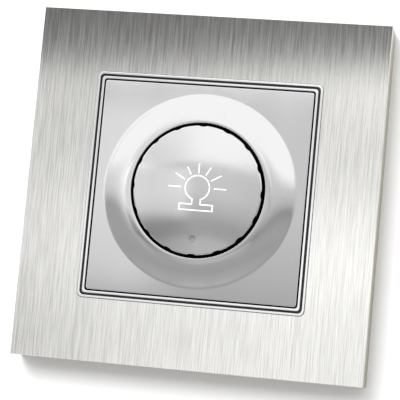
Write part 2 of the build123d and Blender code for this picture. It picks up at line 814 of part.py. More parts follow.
# Return spring: coil between the contact bridge and the switch case
with BuildPart() as return_spring:
    spring_room = bridge_back - switch_inner_back
    spring_height = spring_room - 2 * spring_wire - seat_gap
    spring_foot = switch_inner_back + spring_wire + seat_gap / 2
    with BuildLine() as coil:
        Helix(
            spring_height / spring_turns, spring_height, spring_radius,
            center=(0, -spring_foot, 0), direction=(0, -1, 0),
        )
    with BuildSketch(Plane(origin=coil.line @ 0, z_dir=coil.line % 0)):
        RegularPolygon(spring_wire, 6)
    sweep(path=coil.line, is_frenet=True)
return_spring.part.label = "return_spring"
export_step(return_spring.part, "parts/return_spring.step")

# Circuit board: eight-sided, cut off above the terminals
with BuildPart() as circuit_board:
    with BuildSketch(level(board_back)):
        cut_square(board_width, board_cut)
        with Locations((0, board_lower_edge - board_width / 2)):
            Rectangle(board_width, board_width, mode=Mode.SUBTRACT)
    extrude(amount=board_thickness)
circuit_board.part.label = "circuit_board"
export_step(circuit_board.part, "parts/circuit_board.step")

# Choke core: ferrite ring
choke_middle = board_back - seat_gap - winding_thickness - choke_core_height / 2
choke_back = choke_middle - choke_core_height / 2
with BuildPart() as choke_core:
    with BuildSketch(level(choke_back)):
        with Locations((choke_x, choke_z)):
            Circle(choke_radius)
            Circle(choke_hole, mode=Mode.SUBTRACT)
    extrude(amount=choke_core_height)
choke_core.part.label = "choke_core"
export_step(choke_core.part, "parts/choke_core.step")

# Choke winding: one layer of turns round the ring, with a groove between turns
choke_inner = choke_hole - winding_thickness
winding_groove = winding_thickness / 2
winding_slot = choke_outer - choke_inner + 2 * winding_thickness
with BuildPart() as choke_winding:
    with BuildSketch(level(choke_back - winding_thickness)):
        with Locations((choke_x, choke_z)):
            Circle(choke_outer)
            Circle(choke_inner, mode=Mode.SUBTRACT)
            with PolarLocations((choke_outer + choke_inner) / 2, winding_turns):
                Rectangle(winding_slot, winding_groove, mode=Mode.SUBTRACT)
    extrude(amount=choke_core_height + 2 * winding_thickness)
    with BuildSketch(level(choke_back - winding_groove)):
        with Locations((choke_x, choke_z)):
            Circle(choke_outer - winding_groove)
            Circle(choke_inner + winding_groove, mode=Mode.SUBTRACT)
    extrude(amount=choke_core_height + 2 * winding_groove)
    with BuildSketch(level(choke_back)):
        with Locations((choke_x, choke_z)):
            Circle(choke_radius)
            Circle(choke_hole, mode=Mode.SUBTRACT)
    extrude(amount=choke_core_height, mode=Mode.SUBTRACT)
choke_winding.part.label = "choke_winding"
export_step(choke_winding.part, "parts/choke_winding.step")

# Film capacitor: moulded box on two short legs
with BuildPart() as film_capacitor:
    with BuildSketch(level(board_back - seat_gap)):
        with Locations((capacitor_x, capacitor_z)):
            Rectangle(capacitor_length, capacitor_width)
    extrude(amount=-capacitor_height)
    chamfer(film_capacitor.edges(), capacitor_edge)
    with BuildSketch(level(board_back)):
        with Locations((capacitor_x, capacitor_z)):
            with GridLocations(capacitor_leg_pitch, 0, 2, 1):
                Circle(lead_radius)
    extrude(amount=-2 * seat_gap)
film_capacitor.part.label = "film_capacitor"
export_step(film_capacitor.part, "parts/film_capacitor.step")

# Heat sink: aluminium plate with one leg bent to the board
sink_back = -case_inner_depth + sink_back_gap
sink_front = sink_back + sink_thickness
with BuildPart() as heat_sink:
    with BuildSketch(level(sink_back)):
        with Locations((sink_x, sink_z)):
            Rectangle(sink_width, sink_length)
    extrude(amount=sink_thickness)
    with BuildSketch(level(sink_back)):
        with Locations((sink_x + sink_width / 2 - sink_thickness / 2, sink_z)):
            Rectangle(sink_thickness, sink_leg_length)
    extrude(amount=board_back - sink_back)
    triac_z = sink_z + sink_length / 2 - triac_tab_length - triac_length / 2
    triac_hole_z = sink_z + sink_length / 2 - triac_tab_length / 2
    triac_x = sink_x - sink_thickness / 2
    with BuildSketch(level(sink_back)):
        with Locations((triac_x, triac_hole_z)):
            Circle(triac_screw_radius)
    extrude(amount=sink_thickness, mode=Mode.SUBTRACT)
heat_sink.part.label = "heat_sink"
export_step(heat_sink.part, "parts/heat_sink.step")

# Triac: moulded body on a metal tab, with three pins bent to the board
with BuildPart() as triac:
    with BuildSketch(level(sink_front)):
        with Locations((triac_x, triac_z)):
            Rectangle(triac_width, triac_length)
    extrude(amount=triac_thickness)
    with BuildSketch(level(sink_front)):
        with Locations((triac_x, triac_hole_z)):
            Rectangle(triac_width, triac_tab_length)
            Circle(triac_screw_radius + screw_clearance, mode=Mode.SUBTRACT)
    extrude(amount=triac_tab_thickness)
    pin_root = sink_front + triac_thickness / 2
    pin_end = triac_z - triac_length / 2 - triac_pin_reach
    with BuildSketch(level(pin_root)):
        with Locations((triac_x, (pin_end + triac_z) / 2)):
            with GridLocations(triac_pin_pitch, 0, 3, 1):
                Rectangle(triac_pin, triac_z - pin_end)
    extrude(amount=triac_pin)
    with BuildSketch(level(pin_root)):
        with Locations((triac_x, pin_end + triac_pin / 2)):
            with GridLocations(triac_pin_pitch, 0, 3, 1):
                Rectangle(triac_pin, triac_pin)
    extrude(amount=board_back - pin_root)
triac.part.label = "triac"
export_step(triac.part, "parts/triac.step")

# Triac screw: holds the tab on the heat sink
with BuildPart() as triac_screw:
    tab_front = sink_front + triac_tab_thickness
    with BuildSketch(level(sink_back)):
        with Locations((triac_x, triac_hole_z)):
            Circle(triac_screw_radius)
    extrude(amount=tab_front - sink_back)
    with BuildSketch(level(tab_front)):
        with Locations((triac_x, triac_hole_z)):
            Circle(triac_screw_head_radius)
    extrude(amount=triac_screw_head)
    chamfer(triac_screw.faces().sort_by(Axis.Y)[0].edges(), triac_screw_head / 3)
triac_screw.part.label = "triac_screw"
export_step(triac_screw.part, "parts/triac_screw.step")

# Fuse: glass tube with two metal caps, lying along X
fuse_middle = board_back - fuse_height
with BuildPart() as fuse:
    with BuildSketch(Plane.YZ.offset(-fuse_length / 2)):
        with Locations((-fuse_middle, fuse_z)):
            Circle(fuse_radius)
    extrude(amount=fuse_length)
    with BuildSketch(Plane.YZ.offset(-fuse_length / 2 + fuse_cap_length)):
        with Locations((-fuse_middle, fuse_z)):
            Circle(fuse_radius)
            Circle(fuse_radius - clip_metal / 2, mode=Mode.SUBTRACT)
    extrude(amount=fuse_length - 2 * fuse_cap_length, mode=Mode.SUBTRACT)
fuse.part.label = "fuse"
export_step(fuse.part, "parts/fuse.step")

# Fuse clips: two spring clips that grip the caps, each on a foot
clip_place = (fuse_length - fuse_cap_length) / 2
with BuildPart() as fuse_clips:
    for clip_x in (-clip_place, clip_place):
        with BuildSketch(Plane.YZ.offset(clip_x - clip_width / 2)):
            with Locations((-fuse_middle, fuse_z)):
                Circle(clip_outer)
                with Locations((-fuse_height / 2, 0)):
                    Rectangle(fuse_height, clip_outer)
                Circle(clip_inner, mode=Mode.SUBTRACT)
                with Locations((clip_outer, 0)):
                    Rectangle(clip_outer, 2 * clip_outer, mode=Mode.SUBTRACT)
        extrude(amount=clip_width)
fuse_clips.part.label = "fuse_clips"
export_step(fuse_clips.part, "parts/fuse_clips.step")

# Resistors: three axial bodies with bent leads
with BuildPart() as resistors:
    resistor_middle = board_back - resistor_radius - seat_gap
    lead_span = resistor_length + 4 * resistor_radius
    for number in range(resistor_count):
        row_z = resistor_z + number * resistor_pitch
        with BuildSketch(Plane.YZ.offset(resistor_x - resistor_length / 2)):
            with Locations((-resistor_middle, row_z)):
                Circle(resistor_radius)
        extrude(amount=resistor_length)
        with BuildSketch(Plane.YZ.offset(resistor_x - lead_span / 2)):
            with Locations((-resistor_middle, row_z)):
                RegularPolygon(lead_radius, 6)
        extrude(amount=lead_span)
        with BuildSketch(level(resistor_middle)):
            with Locations((resistor_x, row_z)):
                with GridLocations(lead_span - 2 * lead_radius, 0, 2, 1):
                    RegularPolygon(leg_radius, 6)
        extrude(amount=board_back - resistor_middle)
resistors.part.label = "resistors"
export_step(resistors.part, "parts/resistors.step")

# Terminal clamps: three cages for the wires, with a tail to the board
tail_end = board_lower_edge + solder_tail_width
with BuildPart() as terminal_clamps:
    with BuildSketch(level(cage_back)):
        with Locations(terminal_places()):
            Rectangle(cage_width, cage_bore + 2 * cage_wall)
            Rectangle(cage_width - 2 * cage_wall, cage_bore, mode=Mode.SUBTRACT)
    extrude(amount=cage_depth)
    with BuildSketch(level(board_front)):
        for place_x, place_z in terminal_places():
            with Locations((place_x, (cage_high + tail_end) / 2)):
                Rectangle(solder_tail_width, tail_end - cage_high)
    extrude(amount=solder_tail)
    with BuildSketch(Plane.XY.offset(cage_low)):
        with Locations(clamp_screw_places()):
            Circle(terminal_screw_radius + running_clearance)
    extrude(amount=cage_wall, mode=Mode.SUBTRACT)
terminal_clamps.part.label = "terminal_clamps"
export_step(terminal_clamps.part, "parts/terminal_clamps.step")

# Terminal screws: slotted heads in the access holes under the case
head_low = terminal_head_recess - case_half
with BuildPart() as terminal_screws:
    with BuildSketch(Plane.XY.offset(head_low)):
        with Locations(clamp_screw_places()):
            Circle(terminal_head_radius)
    extrude(amount=terminal_head)
    with BuildSketch(Plane.XY.offset(head_low)):
        with Locations(clamp_screw_places()):
            Circle(terminal_screw_radius)
    extrude(amount=cage_low + cage_wall + terminal_screw_tip - head_low)
    with BuildSketch(Plane.XY.offset(head_low)):
        with Locations(clamp_screw_places()):
            Rectangle(2 * terminal_head_radius, terminal_slot)
    extrude(amount=terminal_slot, mode=Mode.SUBTRACT)
terminal_screws.part.label = "terminal_screws"
export_step(terminal_screws.part, "parts/terminal_screws.step")
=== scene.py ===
import json
import math

import bmesh
import bpy
from mathutils import Matrix, Vector


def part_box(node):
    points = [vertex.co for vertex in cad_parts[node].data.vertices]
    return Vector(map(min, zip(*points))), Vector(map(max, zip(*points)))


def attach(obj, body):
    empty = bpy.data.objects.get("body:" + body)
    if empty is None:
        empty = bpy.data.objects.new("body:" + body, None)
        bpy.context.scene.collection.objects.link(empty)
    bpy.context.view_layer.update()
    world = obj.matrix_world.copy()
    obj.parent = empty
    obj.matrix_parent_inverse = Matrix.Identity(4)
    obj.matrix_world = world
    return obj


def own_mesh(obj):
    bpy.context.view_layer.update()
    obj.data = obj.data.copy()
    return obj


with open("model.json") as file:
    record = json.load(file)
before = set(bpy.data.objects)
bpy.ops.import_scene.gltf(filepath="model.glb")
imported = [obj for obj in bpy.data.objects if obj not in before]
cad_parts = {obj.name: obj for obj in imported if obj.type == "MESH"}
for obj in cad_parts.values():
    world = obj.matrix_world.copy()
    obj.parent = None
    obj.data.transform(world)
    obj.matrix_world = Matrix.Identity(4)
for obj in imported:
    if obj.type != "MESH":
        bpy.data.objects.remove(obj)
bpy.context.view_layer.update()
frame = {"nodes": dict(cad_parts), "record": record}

scene = bpy.context.scene
nodes = frame["nodes"]
MM = 0.001

# Camera: where the photograph was taken from, in the frame of the part
CAMERA_PLACE = Vector((0.0709, -0.3861, -0.0355))
CAMERA_FORWARD = Vector((-0.1835, 0.9792, 0.0870))
CAMERA_UP = Vector((-0.0758, -0.1023, 0.9919))
CAMERA_LENS = 144.0
CAMERA_SENSOR = 36.0
CAMERA_NEAR = 0.01

# Symbol on the knob, in millimetres from the knob's axis
KNOB_CROWN = 0.5
SYMBOL_CENTRE = (0.1, 0.5)
SYMBOL_STROKE = 0.28
SYMBOL_PROUD = 0.012
SYMBOL_DEPTH = 0.05
SYMBOL_RUN = 0.7
BULB_STEPS = 40
BULB_RADIUS = 2.95
BULB_NECK = 1.02
BAR_TOP = -4.0
BAR_BOTTOM = -5.4
BAR_HALF = 4.05
RAY_SPACING = 30.0
MITRE_LIMIT = 0.5
RAYS = ((3.95, 7.0), (3.65, 6.45), (3.55, 5.8), (3.45, 5.85), (3.55, 5.6), (3.65, 6.45), (4.0, 7.0))

# Painted shade: a near-black matt colour on the knob's sides, in the well, in the trim's grooves and along
# the plate's sides. In millimetres: depths behind the front where it starts on knob, rim and trim, its
# fade, radius of the well, and the strip along the plate's sides
GAP_SHADE_COLOUR = (0.012, 0.012, 0.012)
GAP_SHADE_ROUGHNESS = 0.5
KNOB_SHADE_DEPTH = 0.8
RIM_SHADE_DEPTH = 0.2
TRIM_SHADE_DEPTH = 0.15
SHADE_FADE = 0.08
WELL_SHADE_RADIUS = 16.4
SIDE_SHADE_STRIP = 0.02

# Painted shade in the dimple of the knob: a matt dark grey disc, in millimetres
MARKER_OFFSET = 11.75
MARKER_RADIUS = 0.92
MARKER_SHADE_COLOUR = (0.19, 0.19, 0.195)

# Fuse and resistors, in millimetres: length of a cap, half the length of a lacquered body
FUSE_CAP = 5.0
RESISTOR_HALF = 3.25

# Brushing of the sheet, for shorter and longer lines: scale of the noise and its stretch upwards. Then
# the mix of both, and the colour's factors in the darker and the lighter lines
BRUSH_SHORT = (4300.0, 0.035)
BRUSH_LONG = (5100.0, 0.01)
BRUSH_MIX = 0.45
BRUSH_DARKER = 0.84
BRUSH_LIGHTER = 1.12

# Values of a noise at which its darkest and lightest marks are reached, plain and for soft clouds
NOISE_SPAN = (0.3, 0.7)
CLOUD_SPAN = (0.35, 0.65)

# Wall behind the switch, in metres, with the hole of the wall box
WALL_HOLE_RADIUS = 0.031
WALL_HALF = 1.6
WALL_GAP = 0.0002
WALL_STEPS = 96
WALL_GLOW = 0.11


def material(name, colour, roughness, metallic=0.0, coat=0.0, coat_roughness=0.05, specular=0.5):
    made = bpy.data.materials.new(name)
    made.use_nodes = True
    shader = made.node_tree.nodes["Principled BSDF"]
    shader.inputs["Base Color"].default_value = (*colour, 1.0)
    shader.inputs["Roughness"].default_value = roughness
    shader.inputs["Metallic"].default_value = metallic
    shader.inputs["Coat Weight"].default_value = coat
    shader.inputs["Coat Roughness"].default_value = coat_roughness
    shader.inputs["Specular IOR Level"].default_value = specular
    return made


def add(made, kind, **inputs):
    """A new shader node with some of its inputs set."""
    node = made.node_tree.nodes.new(kind)
    for socket, value in inputs.items():
        node.inputs[socket.replace("_", " ")].default_value = value
    return node


def link(made, source, output, target, socket):
    made.node_tree.links.new(source.outputs[output], target.inputs[socket])


def shader_of(made):
    return made.node_tree.nodes["Principled BSDF"]


def calc(tree, operation, *terms):
    """A math node of that operation; each term is a number or an output socket."""
    node = tree.nodes.new("ShaderNodeMath")
    node.operation = operation
    for number, term in enumerate(terms):
        if isinstance(term, (int, float)):
            node.inputs[number].default_value = term
        else:
            tree.links.new(term, node.inputs[number])
    return node.outputs["Value"]


def eased(tree, value, start, end):
    """A smooth step of a value from 0 at start to 1 at end."""
    node = tree.nodes.new("ShaderNodeMapRange")
    node.interpolation_type = "SMOOTHSTEP"
    node.inputs["From Min"].default_value = start
    node.inputs["From Max"].default_value = end
    tree.links.new(value, node.inputs["Value"])
    return node.outputs["Result"]


def placed(made, stretch=(1.0, 1.0, 1.0)):
    """Object coordinates, stretched along the axes."""
    place = add(made, "ShaderNodeTexCoord")
    mapping = add(made, "ShaderNodeMapping", Scale=stretch)
    link(made, place, "Object", mapping, "Vector")
    return mapping


def split_place(made):
    """Object coordinates, one by one."""
    place = add(made, "ShaderNodeTexCoord")
    split = add(made, "ShaderNodeSeparateXYZ")
    link(made, place, "Object", split, "Vector")
    return split


def noise(made, mapping, scale, detail=2.0, roughness=0.5):
    texture = add(made, "ShaderNodeTexNoise", Scale=scale, Detail=detail, Roughness=roughness)
    link(made, mapping, "Vector", texture, "Vector")
    return texture


def spread(made, source, output, low, high, start=0.0, end=1.0):
    """A number between low and high, as the source goes from start to end."""
    node = add(made, "ShaderNodeMapRange")
    node.inputs["From Min"].default_value = start
    node.inputs["From Max"].default_value = end
    node.inputs["To Min"].default_value = low
    node.inputs["To Max"].default_value = high
    link(made, source, output, node, "Value")
    return node


def scaled(colour, factor):
    return tuple(min(1.0, channel * factor) for channel in colour)


def tint(made, source, output, stops):
    """Base colour from a ramp over the source."""
    ramp = made.node_tree.nodes.new("ShaderNodeValToRGB")
    points = ramp.color_ramp.elements
    while len(points) < len(stops):
        points.new(0.5)
    for point, (place, colour) in zip(points, stops):
        point.position = place
        point.color = (*colour, 1.0)
    link(made, source, output, ramp, "Fac")
    link(made, ramp, "Color", shader_of(made), "Base Color")
    return ramp


def mottle(made, source, base, contrast, span=NOISE_SPAN):
    """Base colour, darker and lighter by a share of it with the noise."""
    start, end = span
    tint(made, source, "Fac", [(start, scaled(base, 1 - contrast)), (end, scaled(base, 1 + contrast))])


def gloss(made, source, output, low, high, span=NOISE_SPAN):
    """Roughness between low and high, with the noise."""
    node = spread(made, source, output, low, high, *span)
    link(made, node, "Result", shader_of(made), "Roughness")


def relief(made, source, output, depth, strength):
    """Fine bumps from the source, with a depth in millimetres."""
    bump = add(made, "ShaderNodeBump", Distance=depth * MM, Strength=strength)
    link(made, source, output, bump, "Height")
    link(made, bump, "Normal", shader_of(made), "Normal")


def brushed_aluminium():
    """Fine vertical lines in the colour, the gloss and the relief."""
    base = (0.83, 0.825, 0.80)
    made = material("brushed_aluminium", base, 0.14, metallic=1.0)
    both = made.node_tree.nodes.new("ShaderNodeMix")
    both.data_type = "FLOAT"
    both.inputs[0].default_value = BRUSH_MIX
    for socket, (scale, stretch) in ((2, BRUSH_SHORT), (3, BRUSH_LONG)):
        lines = noise(made, placed(made, (1.0, 1.0, stretch)), scale, detail=0.0)
        made.node_tree.links.new(lines.outputs["Fac"], both.inputs[socket])
    start, end = NOISE_SPAN
    darker, lighter = scaled(base, BRUSH_DARKER), scaled(base, BRUSH_LIGHTER)
    tint(made, both, "Result", [(start, darker), ((start + end) / 2, base), (end, lighter)])
    gloss(made, both, "Result", low=0.12, high=0.15)
    relief(made, both, "Result", depth=0.001, strength=0.2)
    shader_of(made).inputs["Anisotropic"].default_value = 0.85
    return made


def silver_paint(name):
    """Silver moulding: fine metal flake under a clear gloss."""
    base = (0.64, 0.64, 0.645)
    made = material(name, base, 0.07, metallic=1.0, coat=0.3, coat_roughness=0.04)
    flake = noise(made, placed(made), 9000.0, detail=1.0)
    cloud = noise(made, placed(made), 90.0)
    mottle(made, flake, base, contrast=0.015, span=CLOUD_SPAN)
    gloss(made, cloud, "Fac", low=0.055, high=0.085, span=CLOUD_SPAN)
    relief(made, flake, "Fac", depth=0.002, strength=0.2)
    return made


# Masks of painted shade in the gaps, the well and the grooves: by distance from the knob's axis and by
# depth
def round_reach(tree, split, drop=0.0):
    """Distance from the knob's axis, or from a line a drop below it."""
    across = calc(tree, "POWER", split.outputs["X"], 2.0)
    upward = calc(tree, "POWER", calc(tree, "ADD", split.outputs["Z"], drop), 2.0)
    return calc(tree, "SQRT", calc(tree, "ADD", across, upward))


def square_reach(tree, split):
    """Distance from the knob's axis to the side of the square that a point lies on."""
    across = calc(tree, "ABSOLUTE", split.outputs["X"])
    upward = calc(tree, "ABSOLUTE", split.outputs["Z"])
    return calc(tree, "MAXIMUM", across, upward)


def shade_behind(tree, split, front, depth):
    """Share of painted shade, which starts at a depth in millimetres behind the front."""
    start = front + depth * MM
    return eased(tree, split.outputs["Y"], start, start + SHADE_FADE * MM)


def painted_shade_where(made, share, colour=GAP_SHADE_COLOUR):
    """Mixes a matt dark colour, painted shade, over what the material shows so far."""
    tree = made.node_tree
    surface = tree.nodes["Material Output"].inputs["Surface"]
    plain = add(made, "ShaderNodeBsdfPrincipled", Roughness=GAP_SHADE_ROUGHNESS)
    plain.inputs["Base Color"].default_value = (*colour, 1.0)
    mix = tree.nodes.new("ShaderNodeMixShader")
    tree.links.new(share, mix.inputs["Fac"])
    tree.links.new(surface.links[0].from_socket, mix.inputs[1])
    tree.links.new(plain.outputs["BSDF"], mix.inputs[2])
    tree.links.new(mix.outputs["Shader"], surface)
    return made


def knob_paint_and_shade():
    made = silver_paint("knob_paint_and_shade")
    split = split_place(made)
    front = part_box("knob")[0].y
    # Painted shade: near-black on the knob's sides, from a depth behind its front
    deep = shade_behind(made.node_tree, split, front, KNOB_SHADE_DEPTH)
    # Painted shade: matt dark grey in the marker's dimple
    reach = round_reach(made.node_tree, split, MARKER_OFFSET * MM)
    dimple_shade = eased(made.node_tree, reach, MARKER_RADIUS * MM, (MARKER_RADIUS - SHADE_FADE) * MM)
    return painted_shade_where(painted_shade_where(made, dimple_shade, MARKER_SHADE_COLOUR), deep)


def plate_paint_and_shade():
    made = silver_paint("plate_paint_and_shade")
    tree = made.node_tree
    split = split_place(made)
    low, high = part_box("centre_plate")
    # Painted shade: near-black in the well round the knob and on a strip along the plate's sides
    inside = calc(tree, "LESS_THAN", round_reach(tree, split), WELL_SHADE_RADIUS * MM)
    well = calc(tree, "MULTIPLY", inside, shade_behind(tree, split, low.y, RIM_SHADE_DEPTH))
    sides = calc(tree, "GREATER_THAN", square_reach(tree, split), high.x - SIDE_SHADE_STRIP * MM)
    return painted_shade_where(made, calc(tree, "MAXIMUM", well, sides))


def chrome_trim():
    made = material("chrome_trim", (0.88, 0.88, 0.88), 0.04, metallic=1.0)
    cloud = noise(made, placed(made), 400.0)
    gloss(made, cloud, "Fac", low=0.03, high=0.07, span=CLOUD_SPAN)
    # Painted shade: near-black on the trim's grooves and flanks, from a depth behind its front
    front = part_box("trim_ring")[0].y
    return painted_shade_where(made, shade_behind(made.node_tree, split_place(made), front, TRIM_SHADE_DEPTH))


def champagne_plastic():
    base = (0.30, 0.265, 0.185)
    made = material("champagne_plastic", base, 0.4, metallic=0.6)
    flake = noise(made, placed(made), 5000.0)
    mottle(made, flake, base, contrast=0.08)
    gloss(made, flake, "Fac", low=0.36, high=0.46)
    relief(made, flake, "Fac", depth=0.01, strength=0.3)
    return made


def grained(name, base, roughness, grain, depth, metallic=0.0, contrast=0.06, stretch=(1, 1, 1), coat=0.0):
    """Plain metal or moulding: one noise in the colour, gloss and relief, stretched on rolled metal."""
    made = material(name, base, roughness, metallic, coat)
    texture = noise(made, placed(made, stretch), grain, detail=3.0, roughness=0.55)
    mottle(made, texture, base, contrast)
    gloss(made, texture, "Fac", low=roughness * 0.85, high=roughness * 1.15)
    relief(made, texture, "Fac", depth, strength=0.5)
    return made


def fuse_glass():
    """Glass between two metal caps."""
    low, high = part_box("fuse")
    made = material("fuse_glass", (0.9, 0.93, 0.93), 0.05, specular=0.6)
    tree = made.node_tree
    side = calc(tree, "ABSOLUTE", split_place(made).outputs["X"])
    metal = calc(tree, "GREATER_THAN", side, (high.x - low.x) / 2 - FUSE_CAP * MM).node
    link(made, metal, "Value", shader_of(made), "Metallic")
    tint(made, metal, "Value", [(0.0, (0.85, 0.9, 0.9)), (1.0, (0.75, 0.75, 0.76))])
    clear = spread(made, metal, "Value", low=0.85, high=0.0)
    link(made, clear, "Result", shader_of(made), "Transmission Weight")
    wear = noise(made, placed(made), 900.0)
    gloss(made, wear, "Fac", low=0.05, high=0.16, span=CLOUD_SPAN)
    return made


def resistor_body():
    """Lacquered body with plain colour bands."""
    low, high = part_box("resistors")
    middle = (low.x + high.x) / 2
    half = RESISTOR_HALF * MM
    body, brown, red, gold = (0.62, 0.5, 0.34), (0.2, 0.08, 0.03), (0.5, 0.06, 0.04), (0.6, 0.42, 0.12)
    made = material("resistor_body", body, 0.25, coat=0.5)
    split = split_place(made)
    along = spread(made, split, "X", low=0.0, high=1.0, start=middle - half, end=middle + half)
    stops = [
        (0.0, body), (0.2, brown), (0.28, body), (0.4, brown), (0.48, body), (0.6, red), (0.68, body),
        (0.82, gold), (0.9, body),
    ]
    ramp = tint(made, along, "Result", stops)
    ramp.color_ramp.interpolation = "CONSTANT"
    wear = noise(made, placed(made), 1500.0)
    gloss(made, wear, "Fac", low=0.2, high=0.3, span=CLOUD_SPAN)
    return made


def white_print():
    made = material("white_print", (0.9, 0.9, 0.9), 0.35)
    grain = noise(made, placed(made), 6000.0)
    start, end = NOISE_SPAN
    tint(made, grain, "Fac", [(start, (0.88, 0.88, 0.88)), (end, (0.93, 0.93, 0.93))])
    gloss(made, grain, "Fac", low=0.3, high=0.4)
    return made


# Plain finishes by slot: the grain is the scale of a noise, the depth of its relief is in millimetres
PLAIN = {
    "brass_nut": dict(base=(0.72, 0.55, 0.27), roughness=0.28, metallic=1.0, grain=1800.0, depth=0.01),
    "zinc_steel": dict(
        base=(0.66, 0.67, 0.68), roughness=0.34, metallic=1.0, grain=1200.0, depth=0.02, contrast=0.08,
        stretch=(0.15, 1.0, 1.0),
    ),
    "grey_plastic": dict(base=(0.5, 0.51, 0.52), roughness=0.5, grain=3000.0, depth=0.03, contrast=0.04),
    "black_plastic": dict(base=(0.03, 0.03, 0.033), roughness=0.45, grain=2500.0, depth=0.03, contrast=0.1),
    "board_laminate": dict(
        base=(0.05, 0.22, 0.09), roughness=0.3, grain=700.0, depth=0.01, contrast=0.15, coat=0.4,
    ),
    "shaft_metal": dict(
        base=(0.68, 0.68, 0.69), roughness=0.26, metallic=1.0, grain=1500.0, depth=0.01, contrast=0.05,
        stretch=(1.0, 0.1, 1.0),
    ),
    "ferrite": dict(base=(0.06, 0.06, 0.065), roughness=0.6, grain=2500.0, depth=0.04, contrast=0.12),
    "copper_wire": dict(
        base=(0.55, 0.2, 0.06), roughness=0.22, metallic=0.8, grain=1500.0, depth=0.01, contrast=0.1,
        coat=0.6,
    ),
    "capacitor_box": dict(
        base=(0.66, 0.46, 0.06), roughness=0.3, grain=1800.0, depth=0.02, contrast=0.05, coat=0.3,
    ),
    "sink_aluminium": dict(
        base=(0.74, 0.75, 0.76), roughness=0.4, metallic=1.0, grain=1500.0, depth=0.02, contrast=0.07,
        stretch=(1.0, 1.0, 0.1),
    ),
}


def make_finishes():
    """Material of each slot."""
    finishes = {name: grained(name, **look) for name, look in PLAIN.items()}
    finishes["brushed_aluminium"] = brushed_aluminium()
    finishes["champagne_plastic"] = champagne_plastic()
    finishes["chrome_trim"] = chrome_trim()
    finishes["silver_plastic"] = plate_paint_and_shade()
    finishes["fuse_glass"] = fuse_glass()
    finishes["resistor_body"] = resistor_body()
    return finishes


def dress_nodes():
    """Each node gets the material of its slot; the knob has its own paint, with painted shade on its sides
    and in the marker's dimple.
    """
    finishes = make_finishes()
    for part in frame["record"]["subparts"]:
        mesh = nodes[part["node"]].data
        mesh.materials.clear()
        mesh.materials.append(finishes[part["material_slot"]])
    nodes["knob"].data.materials[0] = knob_paint_and_shade()


def squash_spring():
    """Gives the return spring a mesh of its own."""
    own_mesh(nodes["return_spring"])


def make_piece(name, mesh, finish):
    """An object of the scene from a bmesh."""
    data = bpy.data.meshes.new(name)
    mesh.to_mesh(data)
    mesh.free()
    data.materials.append(finish)
    piece = bpy.data.objects.new(name, data)
    scene.collection.objects.link(piece)
    return piece


# Symbol: a bulb over a bar in one outline, and rays round it, printed on the crown of the knob
def bulb_outline():
    """The bulb's arc, open at its neck, and on round the bar."""
    start = math.asin(BULB_NECK / BULB_RADIUS)
    sweep = 2 * math.pi - 2 * start
    arc = [-math.pi / 2 + start + sweep * step / BULB_STEPS for step in range(BULB_STEPS + 1)]
    bulb = [(BULB_RADIUS * math.cos(angle), BULB_RADIUS * math.sin(angle)) for angle in arc]
    bar = [
        (-BULB_NECK, BAR_TOP), (-BAR_HALF, BAR_TOP), (-BAR_HALF, BAR_BOTTOM),
        (BAR_HALF, BAR_BOTTOM), (BAR_HALF, BAR_TOP), (BULB_NECK, BAR_TOP),
    ]
    return bulb + bar


def ray_lines():
    """One line for each ray, from the right over the top to the left."""
    lines = []
    for number, (inner, outer) in enumerate(RAYS):
        angle = math.radians(number * RAY_SPACING)
        across = Vector((math.cos(angle), math.sin(angle)))
        lines.append([inner * across, (inner + outer) / 2 * across, outer * across])
    return lines


def stroke_sides(points, closed):
    """The two sides of a line of the stroke's width, mitred at the corners."""
    points = [Vector(point) for point in points]
    count = len(points)
    sides = []
    for number, point in enumerate(points):
        before = points[number - 1] if closed or number else None
        after = points[(number + 1) % count] if closed or number < count - 1 else None
        runs = []
        if before is not None:
            runs.append((point - before).normalized())
        if after is not None:
            runs.append((after - point).normalized())
        along = sum(runs, Vector((0.0, 0.0))).normalized()
        normal = Vector((-along.y, along.x))
        reach = SYMBOL_STROKE / 2 / max(MITRE_LIMIT, abs(along.dot(runs[0])))
        sides.append((point + reach * normal, point - reach * normal))
    return sides


def subdivided(points, closed):
    """The same line with points added on its longer runs, so that it follows the crown."""
    points = [Vector(point) for point in points]
    ends = points[1:] + points[:1] if closed else points[1:]
    line = []
    for start, end in zip(points, ends):
        pieces = max(1, math.ceil((end - start).length / SYMBOL_RUN))
        line.extend(start.lerp(end, piece / pieces) for piece in range(pieces))
    return line if closed else line + points[-1:]


def knob_crown():
    """Top of the knob and radius of its crown, in metres."""
    low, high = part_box("knob")
    half = (high.x - low.x) / 2
    rise = KNOB_CROWN * MM
    return low.y, (half**2 + rise**2) / (2 * rise)


def seated(crown, point, height):
    """A point of the symbol at a height over the knob's crown."""
    top, radius = crown
    x = (point.x + SYMBOL_CENTRE[0]) * MM
    z = (point.y + SYMBOL_CENTRE[1]) * MM
    fall = radius - math.sqrt(radius**2 - x**2 - z**2)
    return Vector((x, top + fall - height * MM, z))


def add_stroke(mesh, crown, points, closed):
    """A flat bar along the line, a little proud of the crown and sunk into it."""
    rings = []
    for left, right in stroke_sides(subdivided(points, closed), closed):
        top = [(left, SYMBOL_PROUD), (right, SYMBOL_PROUD)]
        corners = top + [(right, -SYMBOL_DEPTH), (left, -SYMBOL_DEPTH)]
        rings.append([mesh.verts.new(seated(crown, point, height)) for point, height in corners])
    spans = list(zip(rings, rings[1:]))
    if closed:
        spans.append((rings[-1], rings[0]))
    for first, second in spans:
        for side in range(4):
            following = (side + 1) % 4
            mesh.faces.new((first[side], second[side], second[following], first[following]))
    if not closed:
        mesh.faces.new(rings[0])
        mesh.faces.new(reversed(rings[-1]))


def make_symbol():
    mesh = bmesh.new()
    crown = knob_crown()
    add_stroke(mesh, crown, bulb_outline(), True)
    for line in ray_lines():
        add_stroke(mesh, crown, line, False)
    bmesh.ops.recalc_face_normals(mesh, faces=mesh.faces)
    symbol = make_piece("knob_symbol", mesh, white_print())
    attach(symbol, "knob")


